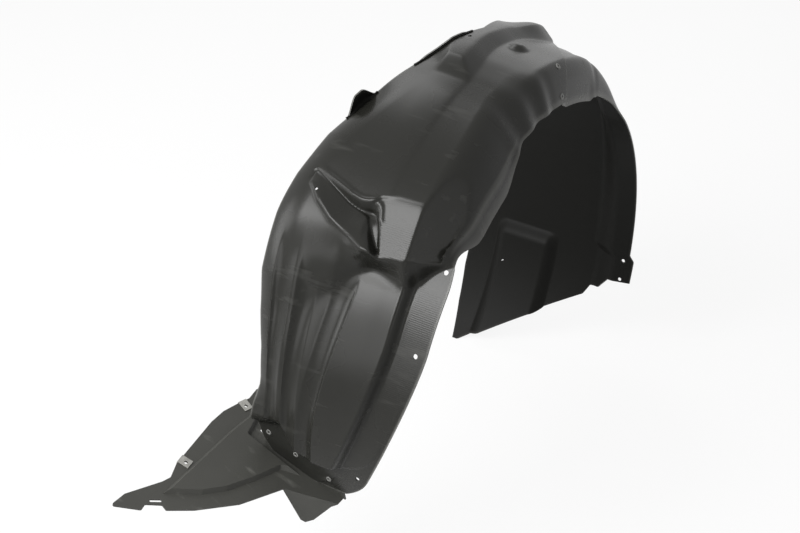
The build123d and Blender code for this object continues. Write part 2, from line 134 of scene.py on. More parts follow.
# Haunch facets: three places of each plane, as angle, distance inboard and height above the lip, and
# the outline, as angles and distances inboard
bright_facet = [(125.6, 40, 47), (125.6, 78, 47.2), (134, 35.5, 39.4)]
bright_facet_outline = [(125.2, -4), (125.2, 42), (125.4, 72), (126.4, 92), (127.8, 100), (129.5, 106),
                        (133, 95), (137, 81), (140, 73), (140, -4)]
dark_facet = [(115.3, 11.5, 31), (125.6, 39.2, 47.5), (129.5, -1, -2)]
dark_facet_outline = [(110, 10), (122, 55), (136.5, 50), (136.4, 20), (134.2, -5), (132.6, -40), (117, -40)]
facet_edge = (-1, 4)
facet_shows = (0.3, 2.5)
facet_blend = 1.2

# Step from the haunch down to the leg: distance inboard and angle, along its top and its foot
step_top = [(-15, 131), (0, 131.2), (17, 132.3), (37, 134.1), (58, 135), (75, 136.1), (90, 136.4),
            (105, 136), (122, 134.6), (140, 133.3), (300, 133.3)]
step_foot = [(-15, 132.4), (0, 132.9), (16, 135.2), (26, 137.5), (36, 138.9), (48, 138.5), (66, 137.9),
             (82, 137.9), (95, 139), (110, 140.9), (130, 145.1), (150, 148), (300, 148)]
step_rounding = 0.15

# Scoop: three places of its flat face, the two sides of its outline, its nose and its wall slopes
scoop_face = [(128.8, 84, 35), (125.3, 188, 35), (136.4, 88, 58)]
scoop_high_side = [(125.2, 190), (126.6, 165), (128.4, 133), (129.4, 104), (133.1, 89.5), (136.5, 76)]
scoop_low_side = [(136.6, 90), (134.8, 113), (133, 145), (130.6, 170), (127.6, 191)]
scoop_first_angle = 112
scoop_last_angle = 148
scoop_reach = 40
scoop_nose_rise = 12
scoop_nose_across = (118, 185)
scoop_outer_slope = 18
scoop_inner_slope = 27
scoop_foot_blend = 3
scoop_wall_blend = 4
scoop_body_blend = 2.5
scoop_roof_blend = 2

# Groove around the scoop's flat face, wider and deeper at its outboard corner, and the rim beyond it
# Its near side is measured from the face, its far side from its width and its end from the low side
groove_width = 4.5
groove_depth = 1.6
groove_near_side = (-0.5, 2.5)
groove_far_side = (-2, 1.5)
groove_end = (-1.6, -0.4)
groove_corner_across = (88, 120)
groove_corner_end = (130.5, 136.5)
groove_corner_width = 9
groove_corner_depth = 3
scoop_rim_height = 1.8
scoop_rim_width = 3
scoop_rim_offset = 2
scoop_rim_shows = (1, 5)

# Plateau at the top: its front end, its outboard side and the further lift of its rear end
plateau_height = 13
plateau_front = 98
plateau_front_run = 4.5
plateau_front_widening = 14
plateau_front_widens = (125, 165)
plateau_outboard = 96
plateau_wall_run = 22
plateau_front_flare = 14
plateau_front_flare_run = 16
plateau_rear_flare = 12
plateau_rear_flare_end = (64, 76)
plateau_start = (30, 56)
plateau_rounding = 0.12
plateau_corner = 0.15
plateau_rear_lift = 7
plateau_rear_lift_end = (64, 72)
plateau_lift_loss = 1.4
plateau_lift_fades = (112, 150)

# Blister beside the plateau
blister_angle = 80
blister_y = 78
blister_height = 6
blister_radius = 17
blister_top_radius = 3
blister_squash = 1.15

# Front leg: flange and raised panel
leg_flange_width = 39
leg_wall_run = 11
leg_panel_height = 14
leg_panel_crown = 5
leg_crown_across = (60, 130)

# Flutes of the front leg: edge at the top and foot, width at the top and foot, depth, first angle
flutes = [(93, 116, 50, 24, 9, 139), (168, 160, -44, -20, 8, 137), (203, 184, -30, -16, 6, 134)]
flute_length = (140, 178)
flute_start_run = 7
flute_end = (180, 187)
flute_foot_loss = 0.45
flute_skew = 0.7

# Foot of the front leg, round outboard of its centre and squarer inboard, and the flat strip along it
foot_y = 98
foot_z = 64
foot_radius = 120
foot_half_width = 114
foot_squareness = 3
strip_width = 46
strip_top = 30
strip_wall_slope = 23
strip_start = (150, 160)
strip_fade = 24
strip_blend = 2.5
strip_blend_allowance = 0.6

# Seam between the shells, and the angles between which the rear shell takes the skin's radius for it
seam_x = 61
seam_slant = 1.5
seam_rear_x = 194
seam_overlap = 25
seam_angles = (40, 95)

# Rear leg: distance inboard and height of its foot, and the pad pressed towards the wheel
rear_foot = [(-40, -92), (24, -101), (40, -124), (58, -129), (67, -146), (330, -311)]
pad_height = 12
pad_wall_run = 20
pad_outboard = 137
pad_inboard = 231
pad_top = (-13.5, -9.5)

# Bead and hem of the rear shell beside the seam
bead_angle = 63
bead_width = 0.9
bead_depth = 2.5
bead_across = (18, 26)
hem_depth = 9
hem_run = 8
hem_stretch = (63, 66, 79, 82)

# Holes through the shells: angle, distance inboard, radius
flange_holes = [(133.8, 0.1, 3.2), (150.9, 2.6, 3.2), (182.7, 58.6, 3.2)]
plateau_hole = (86, 128, 3)
scoop_hole = (128.4, 177, 2.4)
pad_hole = (-21.5, 214, 4)
tab_holes = [(-10.1, 5, 3), (-15.5, 5, 3)]

# Rivets: places as angle and distance inboard, and sizes
seam_rivets_at = [(82.2, 2.6), (80.4, 18.5)]
strip_rivets_at = [(180.1, 193), (183.2, 152), (186.3, 103)]
rivet_head_radius = 4
rivet_bore_radius = 1.5
rivet_head_height = 1.1
rivet_rounding = 0.8
rivet_rounding_steps = 5
rivet_sides = 40

# Wear, a painted highlight along the fold of the haunch's corner, and tool lines, as values on the points
# of the shells
worn_rim = (0.4, 2.6)
worn_upstand = (0.7, 1)
# The crease values paint a highlight in the worn colour along the fold of the corner
crease_width = 1.2
crease_highlight = 0.8
crease_stretch = (99, 106, 126, 132)
facet_lines_start = (127.5, 131)
flange_lines_start = (136, 139)
flange_lines_fade = 6
flange_lines_share = 0.7

# Mesh fineness: first angle, last angle and number of steps along the arch, and steps across the sheet
front_spans = [(46, 70, 22), (70, 90, 36), (90, 100, 30), (100, 112, 14), (112, 122, 26), (122, 138, 88),
               (138, 142, 12), (142, 149, 10), (149, 153, 14), (153, 171, 24), (171, 180, 28),
               (180, 186.5, 24), (186.5, 189.5, 6)]
rear_spans = [(-52, -26, 26), (-26, -8, 60), (-8, 46, 54), (46, 90, 44)]
front_columns = 138
rear_columns = 184

# Rows of a shell outside these angles are drawn to its two ends, in rounds that each go a share of the way
front_free_angles = (100, 165)
rear_free_angles = (-4, 40)
front_rounds = 12
rear_rounds = 14
round_share = 0.6

# Edges sharper than these angles aren't shaded smooth
sheet_sharp_angle = 50
rivet_sharp_angle = 40

# Camera at the photograph's view: heading and dip of its axis in radians, place, focal length, and
# how far it sees in metres
camera_heading = 0.5612
camera_dip = 0.5915
camera_place = (-1333.39, -622.66, 1104.56)
camera_lens = 58.8
camera_sight = 100

# Lamps in metres: name, place, point aimed at, width and height, power in watts
lamps = [("front_softbox", (-1.75, 0.8, 1.75), (-0.2, 0.08, 0.25), (1.5, 1.1), 72),
         ("rear_softbox", (1.9, 1.0, 1.2), (0, 0.1, 0.3), (1.5, 1.0), 4),
         ("left_softbox", (-1.3, 2.3, 0.7), (-0.1, 0.2, 0.2), (1.2, 1.2), 19),
         ("low_softbox", (-1.95, 0.6, 0.7), (-0.3, 0.1, 0.1), (1.0, 0.9), 8),
         ("side_softbox", (-0.9, -2, 0.8), (0, 0.1, 0.1), (1.2, 0.8), 3),
         ("top_softbox", (0.85, 1.25, 1.95), (-0.1, 0.1, 0.35), (0.9, 0.9), 10)]

# Floor in metres, its share of plain white where it is seen, and the light of the white surroundings
floor_reach = 15
floor_gap = 0.002
floor_white_share = 0.88
surroundings_light = 0.3


def ramp(value, start, end):
    """Smooth rise from 0 at start to 1 at end."""
    share = np.clip((value - start) / (end - start), 0, 1)
    return share * share * (3 - 2 * share)


def fade(value, start, end):
    """Smooth fall from 1 at start to 0 at end."""
    return 1 - ramp(value, start, end)


def stretch(value, places):
    """Smooth rise to 1 and fall back to 0, by the four places where they begin and end."""
    begins, full, falls, gone = places
    return ramp(value, begins, full) * fade(value, falls, gone)


def straight_ramp(value, start, end, rounding):
    """Straight rise from 0 at start to 1 at end, with both corners rounded by a share of it."""
    share = (value - start) / (end - start)
    return soft_most(soft_least(share, 1 + 0 * share, rounding), 0 * share, rounding)


def between(value, knots):
    """Straight line through pairs of place and height."""
    places, heights = zip(*knots)
    return np.interp(value, places, heights)


def curve_through(value, knots):
    """Smooth curve through pairs of place and height."""
    places, heights = np.array(knots, float).T
    slopes = np.gradient(heights, places)
    step = np.clip(np.searchsorted(places, value) - 1, 0, len(places) - 2)
    width = places[step + 1] - places[step]
    share = np.clip((value - places[step]) / width, 0, 1)
    lean = share * (1 - share) * width * (slopes[step] * (1 - share) - slopes[step + 1] * share)
    return heights[step] + (heights[step + 1] - heights[step]) * ramp(share, 0, 1) + lean


def soft_least(first, second, blend):
    """Smaller of two heights, with the corner between them rounded."""
    return 0.5 * (first + second - np.sqrt((first - second) ** 2 + blend ** 2))


def soft_most(first, second, blend):
    """Larger of two heights, with the corner between them rounded."""
    return 0.5 * (first + second + np.sqrt((first - second) ** 2 + blend ** 2))


def lip_line(angle):
    """Distance of the fender edge inboard of its plane."""
    tuck = lip_tuck * (np.maximum(angle - tuck_start, 0) / tuck_run) ** tuck_power
    tab = tab_reach * fade(angle, *tab_top) + rear_reach * fade(angle, *rear_reach_end)
    bulge = corner_bulge * stretch(angle, bulge_stretch)
    phase = 2 * np.pi * (angle - lip_wave_stretch[0]) / lip_wave_length
    waves = lip_wave_height * np.sin(phase) * stretch(angle, lip_wave_stretch)
    foot_corner = foot_corner_cut * (np.maximum(angle - foot_corner_start, 0) / foot_corner_run) ** 2
    return tuck - tab - bulge + waves + foot_corner - leg_reach * ramp(angle, *leg_reach_start)


def inboard_line(angle):
    """Distance of the inboard edge from the plane of the fender edge."""
    return between(angle, inboard_edge)


def fender_edge(angle, inset):
    """Height above the lip of the wall, haunch or flange next to the fender edge."""
    front = ramp(angle, *haunch_start)
    rear = fade(angle, *rear_slope_end)
    wall_run = rear_wall_run + (fender_wall_run - rear_wall_run) * ramp(angle, *wall_widens)
    wall = crown_rise * (1 - (1 - np.clip(inset / wall_run, 0, 1)) ** wall_roundness)
    haunch = crown_rise * (1 - (1 - np.clip(inset / haunch_run, 0, 1)) ** 2)
    dip = corner_dip * stretch(angle, dip_stretch) * fade(inset, 0, dip_run)
    fold = corner_fold * np.maximum(1 - inset / fold_run, 0)
    drop = corner_drop * np.maximum(1 - inset / drop_run, 0) ** 2
    haunch = haunch - dip - (fold + drop) * stretch(angle, corner_stretch)
    depth = rear_slope_depth + (crown_rise - rear_slope_depth) * ramp(angle, *rear_slope_deepens)
    slope = depth * ramp(inset, rear_flange_width, rear_flange_width + rear_slope_run)
    return (1 - front) * (1 - rear) * wall + front * haunch + rear * slope


def plateau(angle, y):
    """Raised field at the top, inboard, with its rear end lifted further."""
    front_flare = plateau_front_flare * ramp(angle, plateau_front - plateau_front_flare_run, plateau_front)
    edge = plateau_outboard - front_flare - plateau_rear_flare * fade(angle, *plateau_rear_flare_end)
    front_run = plateau_front_run + plateau_front_widening * ramp(y, *plateau_front_widens)
    front = straight_ramp(plateau_front - angle, 0, front_run, plateau_rounding)
    side = straight_ramp(y, edge, edge + plateau_wall_run, plateau_rounding)
    field = soft_least(front, side, plateau_corner) * ramp(angle, *plateau_start)
    lift = plateau_rear_lift * fade(angle, *plateau_rear_lift_end)
    lift = lift * (1 - plateau_lift_loss * ramp(y, *plateau_lift_fades))
    return field * (plateau_height + lift)


def flute(angle, y, sizes):
    """Depth of a flute, steep beside its edge and shallow on its other side."""
    edge_top, edge_foot, width_top, width_foot, depth, first = sizes
    down = ramp(angle, *flute_length)
    edge = edge_top + (edge_foot - edge_top) * down
    width = width_top + (width_foot - width_top) * down
    share = np.clip((y - edge) / width, 0, 1)
    length = stretch(angle, (first, first + flute_start_run, *flute_end)) * (1 - flute_foot_loss * down)
    return depth * np.sin(np.pi * share ** flute_skew) * length


def leg(angle, y):
    """Front leg above the lip: a fluted panel raised inside the flange."""
    panel = ramp(y - lip_line(angle), leg_flange_width, leg_flange_width + leg_wall_run)
    height = leg_panel_height + leg_panel_crown * ramp(y, *leg_crown_across)
    return panel * (height - sum(flute(angle, y, sizes) for sizes in flutes))


def pad(angle, y):
    """Seat pressed towards the wheel on the rear leg."""
    half = pad_wall_run / 2
    sides = (pad_outboard - half, pad_outboard + half, pad_inboard - half, pad_inboard + half)
    return pad_height * stretch(y, sides) * fade(angle, *pad_top)


def plain_skin(angle, y):
    """Radius of the outer face about the wheel axis, before the facets, the scoop and the strip."""
    inset = y - lip_line(angle)
    lift = crown_lift * ramp(inset, *crown_lift_across) * stretch(angle, crown_lift_stretch)
    upper = fender_edge(angle, inset) + plateau(angle, y) - pad(angle, y) + lift
    down = straight_ramp(angle, curve_through(y, step_top), curve_through(y, step_foot), step_rounding)
    roll = far_roll_depth * np.maximum(1 - (inboard_line(angle) - y) / far_roll_run, 0) ** 2
    roll = roll * stretch(angle, far_roll_stretch)
    return lip_radius + upper * (1 - down) + leg(angle, y) * down - roll


def place(angle, y, radius):
    """Points in millimetres from angles, inboard distances and radii."""
    turn = np.radians(angle)
    return np.stack([radius * np.cos(turn), y + 0 * turn, radius * np.sin(turn)], axis=-1)


class FlatFace:
    """Plane through three places on the shell, with its two axes, its outward normal and an outline."""

    def __init__(self, places, corners):
        first, second, third = [place(angle, y, lip_radius + height) for angle, y, height in places]
        normal = np.cross(second - first, third - first)
        if normal[0] * first[0] + normal[2] * first[2] < 0:
            normal = -normal
        self.origin = (first + second + third) / 3
        self.normal = normal / np.linalg.norm(normal)
        self.along = (second - first) / np.linalg.norm(second - first)
        self.across = np.cross(self.normal, self.along)
        raised = [place(angle, y, lip_radius + crown_rise) for angle, y in corners]
        self.outline = np.array([self.local(corner) for corner in raised])

    def radius(self, angle, y):
        """Radius at which the plane is met, and how steeply the way out from the axis meets it."""
        turn = np.radians(angle)
        rise = self.normal[0] * np.cos(turn) + self.normal[2] * np.sin(turn)
        return (self.origin @ self.normal - self.normal[1] * y) / rise, rise

    def local(self, points):
        """Coordinates of points along the plane's two axes."""
        return (points - self.origin) @ self.along, (points - self.origin) @ self.across

    def outside(self, angle, y, radius):
        """Distance of places outside the outline, negative inside it."""
        return outside_by(self.local(place(angle, y, radius)), self.outline)


def outside_by(points, outline):
    """Distance of points outside a closed outline, negative inside it."""
    x, y = points
    nearest = np.full(np.shape(x), np.inf)
    inside = np.zeros(np.shape(x), bool)
    for (x0, y0), (x1, y1) in zip(outline, np.roll(outline, -1, axis=0)):
        length = (x1 - x0) ** 2 + (y1 - y0) ** 2
        share = np.clip(((x - x0) * (x1 - x0) + (y - y0) * (y1 - y0)) / length, 0, 1)
        nearest = np.minimum(nearest, np.hypot(x - x0 - share * (x1 - x0), y - y0 - share * (y1 - y0)))
        crosses = (y0 > y) != (y1 > y)
        inside ^= crosses & (x < x0 + (x1 - x0) * (y - y0) / (y1 - y0 if y1 != y0 else 1))
    return np.where(inside, -nearest, nearest)


bright_plane = FlatFace(bright_facet, bright_facet_outline)
dark_plane = FlatFace(dark_facet, dark_facet_outline)
scoop_plane = FlatFace(scoop_face, scoop_high_side + scoop_low_side)


def cut_to_facet(radius, angle, y, plane):
    """Skin cut back to a facet inside the facet's outline, and how much of the facet shows there."""
    level, _ = plane.radius(angle, y)
    share = fade(plane.outside(angle, y, level), *facet_edge)
    cut = soft_least(radius, level, facet_blend)
    return radius + share * (cut - radius), share * ramp(radius - level, *facet_shows)


def pressed_scoop(radius, angle, y):
    """Skin with the scoop's body raised under its flat face and its pocket sunk over it."""
    level, rise = scoop_plane.radius(angle, y)
    level = level + scoop_nose_rise * ramp(y, *scoop_nose_across)
    outside = scoop_plane.outside(angle, y, level)
    outer_tangent = math.tan(math.radians(scoop_outer_slope))
    inner_tangent = math.tan(math.radians(scoop_inner_slope))
    body = level - soft_most(outside, 0 * outside, scoop_foot_blend) / outer_tangent / rise

    corner = fade(y, *groove_corner_across)
    gap = groove_width + groove_corner_width * corner * fade(angle, *groove_corner_end)
    roof = level + soft_most(outside - gap, 0 * outside, scoop_wall_blend) / inner_tangent / rise
    low_side = between(y, [(side_y, side_angle) for side_angle, side_y in scoop_low_side])
    groove = (groove_depth + groove_corner_depth * corner) * fade(angle - low_side, *groove_end)
    groove = groove * ramp(outside, *groove_near_side) * fade(outside - gap, *groove_far_side)

    rim_at = gap + scoop_rim_offset + np.maximum(radius - level, 0) * inner_tangent
    rim = scoop_rim_height * np.exp(-((outside - rim_at) / scoop_rim_width) ** 2)
    rim = rim * ramp(radius - level, *scoop_rim_shows)
    raised = soft_most(radius + rim, body, scoop_body_blend)
    pressed = soft_least(raised, roof, scoop_roof_blend) - groove
    return np.where(outside < scoop_reach, pressed, radius)


def foot_reach(y, z):
    """Distance from the centre of the front foot: round outboard, squarer inboard."""
    inboard = np.maximum(y - foot_y, 0) / foot_half_width
    down = np.maximum(foot_z - z, 0) / foot_radius
    square = foot_radius * (inboard ** foot_squareness + down ** foot_squareness) ** (1 / foot_squareness)
    return np.where(y > foot_y, square, np.hypot(y - foot_y, z - foot_z))


def strip_along_foot(radius, angle, y):
    """Skin cut back to the flat strip along the foot of the front leg."""
    z = radius * np.sin(np.radians(angle))
    room = foot_radius - strip_width - foot_reach(y, z)
    roof = lip_radius + np.maximum(room, 0) / math.tan(math.radians(strip_wall_slope))
    line = between(y, [(foot_y, foot_z), (foot_y + foot_radius, strip_top)])
    below = ramp(line - z, 0, strip_fade) * ramp(angle, *strip_start)
    cut = soft_least(radius, roof, strip_blend) + strip_blend_allowance
    return radius + below * (np.minimum(radius, cut) - radius)


def front_skin(angle, y):
    """Radius of the front shell's outer face, and the shares of the bright facet and of the scoop."""
    radius = plain_skin(angle, y)
    radius, bright = cut_to_facet(radius, angle, y, bright_plane)
    radius, dark = cut_to_facet(radius, angle, y, dark_plane)
    near_scoop = (angle > scoop_first_angle) & (angle < scoop_last_angle)
    pressed = np.where(near_scoop, pressed_scoop(radius, angle, y), radius)
    sunk = np.clip(np.abs(pressed - radius), 0, 1)
    along = np.radians(angle - blister_angle) * lip_radius * blister_squash
    blister = blister_height * fade(np.hypot(along, y - blister_y), blister_top_radius, blister_radius)
    return strip_along_foot(pressed + blister, angle, y), bright * (1 - dark), sunk


def front_radius(angle, y):
    """Radius of the front shell's outer face alone."""
    return front_skin(angle, y)[0]


def rear_radius(angle, y):
    """Radius of the face that the rear shell lies under, with a bead and a hem beside the seam."""
    inset = y - lip_line(angle)
    bead = bead_depth * np.exp(-((angle - bead_angle) / bead_width) ** 2) * fade(inset, *bead_across)
    hem = hem_depth * stretch(angle, hem_stretch) * np.maximum(1 - inset / hem_run, 0)
    return plain_skin(angle, y) - plateau(angle, y) - bead - hem


def seam_angle(y, overlap, angle):
    """Angle of the seam at inboard distances, moved forward by an overlap."""
    x = np.minimum(seam_x + seam_slant * y, seam_rear_x) - overlap
    return np.degrees(np.arccos(np.clip(x / plain_skin(angle, y), -1, 1)))


def front_ends(angle, y):
    """Angles of the seam and of the foot of the front leg at inboard distances."""
    round_down = np.maximum(1 - ((y - foot_y) / foot_radius) ** 2, 0) ** (1 / 2)
    inboard = np.maximum((y - foot_y) / foot_half_width, 0)
    square_down = np.maximum(1 - inboard ** foot_squareness, 0) ** (1 / foot_squareness)
    z = foot_z - foot_radius * np.where(y > foot_y, square_down, round_down)
    return seam_angle(y, 0, angle), 180 - np.degrees(np.arcsin(z / lip_radius))


def rear_ends(angle, y):
    """Angles of the slanted foot of the rear leg and of the edge under the seam at inboard distances."""
    foot = np.degrees(np.arcsin(between(y, rear_foot) / plain_skin(angle, y)))
    return foot, seam_angle(y, seam_overlap, np.clip(angle, *seam_angles))


def span_across(angle, shares):
    """Inboard distances at shares of the way from the fender edge to the inboard edge."""
    return lip_line(angle) + shares * (inboard_line(angle) - lip_line(angle))


def fitted_grid(spans, columns, free_angles, ends, rounds):
    """Angles and inboard distances of a shell, whose first and last rows lie along its ends."""
    runs = [np.linspace(start, end, steps, endpoint=False) for start, end, steps in spans]
    first, last = spans[0][0], spans[-1][1]
    rows = np.concatenate(runs + [[last]])[:, None]
    shares = np.linspace(0, 1, columns + 1)[None, :]
    free_start, free_end = free_angles
    angle = rows + 0 * shares
    for _ in range(rounds):
        start, end = ends(angle, span_across(angle, shares))
        near = start + (rows - first) / (free_start - first) * (free_start - start)
        far = free_end + (rows - free_end) / (last - free_end) * (end - free_end)
        goal = np.where(rows < free_start, near, np.where(rows > free_end, far, rows))
        angle = (1 - round_share) * angle + round_share * goal
    return angle, span_across(angle, shares)


def grid_normals(points, towards):
    """Unit normals of a grid of points, on the side of given directions."""
    least_length = 1e-9
    normals = np.cross(np.gradient(points, axis=0), np.gradient(points, axis=1))
    normals /= np.maximum(np.linalg.norm(normals, axis=-1, keepdims=True), least_length)
    return normals * np.sign(np.median(np.sum(normals * towards, axis=-1)))


def outward_normals(points):
    """Unit normals of a grid of points, away from the wheel axis."""
    return grid_normals(points, points * np.array([1, 0, 1]))


def open_holes(angle, y, radius_of, holes):
    """Grid drawn back to the rims of round holes, and the cells that stay."""
    least_distance = 0.2
    keep = np.ones((angle.shape[0] - 1, angle.shape[1] - 1), bool)
    for hole_angle, hole_y, hole_radius in holes:
        spot = np.array([hole_angle]), np.array([hole_y])
        centre = place(*spot, radius_of(*spot))[0]
        distance = np.linalg.norm(place(angle, y, radius_of(angle, y)) - centre, axis=-1)
        inner = distance < hole_radius
        corners = inner[:-1, :-1].astype(int) + inner[1:, :-1] + inner[1:, 1:] + inner[:-1, 1:]
        keep &= corners < 4
        push = np.where(inner, hole_radius / np.maximum(distance, least_distance), 1)
        angle = hole_angle + (angle - hole_angle) * push
        y = hole_y + (y - hole_y) * push
    return angle, y, keep


def shade_smooth(mesh, sharp_angle):
    """Smooth shading up to an angle between faces."""
    mesh.polygons.foreach_set("use_smooth", np.ones(len(mesh.polygons), bool))
    mesh.set_sharp_from_angle(angle=math.radians(sharp_angle))


def sheet_mesh(name, outer, normals, keep, values, finishes):
    """Closed sheet from a grid of outer points, with values on its points and a finish on each side."""
    rows, columns = outer.shape[:2]
    total = rows * columns
    index = np.arange(total).reshape(rows, columns)
    cells = np.stack([index[:-1, :-1], index[:-1, 1:], index[1:, 1:], index[1:, :-1]], axis=-1)[keep]
    corner = outer.reshape(-1, 3)[cells]
    facing = np.cross(corner[:, 2] - corner[:, 0], corner[:, 3] - corner[:, 1])
    if np.median(np.sum(facing * normals.reshape(-1, 3)[cells[:, 0]], axis=1)) < 0:
        cells = cells[:, ::-1]
    edges = np.concatenate([cells[:, [k, (k + 1) % 4]] for k in range(4)])
    _, first, count = np.unique(np.sort(edges, axis=1), axis=0, return_index=True, return_counts=True)
    rim = edges[first[count == 1]]
    walls = np.stack([rim[:, 1], rim[:, 0], rim[:, 0] + total, rim[:, 1] + total], axis=-1)
    faces = np.concatenate([cells, cells[:, ::-1] + total, walls])
    points = np.concatenate([outer.reshape(-1, 3), (outer - sheet * normals).reshape(-1, 3)]) * mm
    used, numbers = np.unique(faces, return_inverse=True)

    mesh = bpy.data.meshes.new(name)
    mesh.from_pydata(points[used].tolist(), [], numbers.reshape(faces.shape).tolist())
    for value_name, value in values.items():
        both = np.concatenate([value.reshape(-1), value.reshape(-1)])[used]
        attribute = mesh.attributes.new(value_name, "FLOAT", "POINT")
        attribute.data.foreach_set("value", both.astype(np.float32))
    for finish in finishes:
        mesh.materials.append(finish)
    wheel_side = np.zeros(len(faces), np.int32)
    wheel_side[len(cells):2 * len(cells)] = 1
    mesh.polygons.foreach_set("material_index", wheel_side)
    shade_smooth(mesh, sheet_sharp_angle)
    return mesh


def add_object(name, data):
    """Object at the origin that shows a mesh, or is a lamp or camera."""
    piece = bpy.data.objects.new(name, data)
    bpy.context.scene.collection.objects.link(piece)
    return piece


def join_meshes(name, pieces):
    """One object from several, which are removed."""
    bpy.ops.object.select_all(action="DESELECT")
    for piece in pieces:
        piece.select_set(True)
    bpy.context.view_layer.objects.active = pieces[0]
    bpy.ops.object.join()
    pieces[0].name = name
    return pieces[0]


def rim_wear_and_crease_highlight(angle, y, ends):
    """Wear of a shell at its trimmed edges, and a painted highlight along the fold of its corner."""
    start, end = ends
    along = np.minimum(np.abs(angle - start), np.abs(angle - end)) * math.radians(1) * lip_radius
    inset = y - lip_line(angle)
    across = np.minimum(inset, inboard_line(angle) - y)
    # Painted highlight: a thin lighter line along the fold of the corner
    crease = np.exp(-((inset - fold_run) / crease_width) ** 2) * stretch(angle, crease_stretch)
    return np.maximum(fade(np.minimum(along, across), *worn_rim), crease_highlight * crease)


def front_shell(finishes):
    """Front shell with its facets, scoop, flutes, strip, holes and turned-up edges."""
    angle, y = fitted_grid(front_spans, front_columns, front_free_angles, front_ends, front_rounds)
    angle, y, keep = open_holes(angle, y, front_radius, flange_holes + [plateau_hole, scoop_hole])
    radius, bright, sunk = front_skin(angle, y)
    outer = place(angle, y, radius)
    facet_lines = bright * (1 - sunk) * ramp(angle, *facet_lines_start)
    flange = fade(y - lip_line(angle), leg_flange_width - flange_lines_fade, leg_flange_width)
    flange_lines = flange_lines_share * flange * ramp(angle, *flange_lines_start)
    # The rim values hold wear at trimmed edges and a painted highlight along the corner's fold
    values = {"tool_lines": np.maximum(facet_lines, flange_lines),
              "rim": rim_wear_and_crease_highlight(angle, y, front_ends(angle, y))}
    mesh = sheet_mesh("front_sheet", outer, outward_normals(outer), keep, values, finishes)
    pieces = [add_object("front_sheet", mesh)]
    for first, last, height in upstands:
        pieces.append(upstand(first, last, height, finishes))
    return join_meshes("front_shell_formed", pieces)


def upstand(first, last, height, finishes):
    """Turned-up stretch of the inboard edge, which tapers off at both ends."""
    shares = np.linspace(0, 1, upstand_columns)[None, :]
    angle = np.linspace(first, last, upstand_rows)[:, None] + 0 * shares
    taper = stretch(angle, (first, first + upstand_taper, last - upstand_taper, last))
    edge = inboard_line(angle) - upstand_inset
    y = edge - upstand_bend * fade(shares, 0, upstand_bend_end)
    root = front_radius(angle, edge - upstand_bend) - upstand_root_depth
    outer = place(angle, y, root + (height * taper + upstand_least_height) * shares)
    normals = grid_normals(outer, np.array([0, 1, 0]))
    keep = np.ones((upstand_rows - 1, upstand_columns - 1), bool)
    values = {"rim": ramp(shares, *worn_upstand) + 0 * angle}
    return add_object("upstand", sheet_mesh("upstand", outer, normals, keep, values, finishes))


def rear_shell(finishes):
    """Rear shell, nested under the front one, with its pad, tab and holes."""
    angle, y = fitted_grid(rear_spans, rear_columns, rear_free_angles, rear_ends, rear_rounds)
    angle, y, keep = open_holes(angle, y, rear_radius, [pad_hole] + tab_holes)
    face = place(angle, y, rear_radius(angle, y))
    normals = outward_normals(face)
    values = {"rim": rim_wear_and_crease_highlight(angle, y, rear_ends(angle, y))}
    mesh = sheet_mesh("rear_shell_formed", face - nest_depth * normals, normals, keep, values, finishes)
    return add_object("rear_shell_formed", mesh)


def skin_facing(angle, y):
    """Point on the front shell and the outward direction there."""
    step = 0.3
    angles = np.array([angle, angle + step, angle])
    distances = np.array([y, y, y + step])
    point, beside, inboard = place(angles, distances, front_radius(angles, distances))
    normal = np.cross(beside - point, inboard - point)
    normal /= np.linalg.norm(normal)
    if normal[0] * point[0] + normal[2] * point[2] < 0:
        normal = -normal
    return point, normal


def feed(tree, value, socket):
    """Value of a socket: an output is linked to it, and a number or colour is written into it."""
    if isinstance(value, bpy.types.NodeSocket):
        tree.links.new(value, socket)
    else:
        socket.default_value = value


def combine(tree, operation, first, second):
    """Result of a Math node on two outputs or numbers."""
    made = tree.nodes.new("ShaderNodeMath")
    made.operation = operation
    feed(tree, first, made.inputs[0])
    feed(tree, second, made.inputs[1])
    return made.outputs[0]


def map_range(tree, value, low, high, start=0, end=1):
    """Output that goes from low to high as a value goes from start to end."""
    made = tree.nodes.new("ShaderNodeMapRange")
    tree.links.new(value, made.inputs["Value"])
    limits = {"From Min": start, "From Max": end, "To Min": low, "To Max": high}
    for socket_name, limit in limits.items():
        made.inputs[socket_name].default_value = limit
    return made.outputs["Result"]


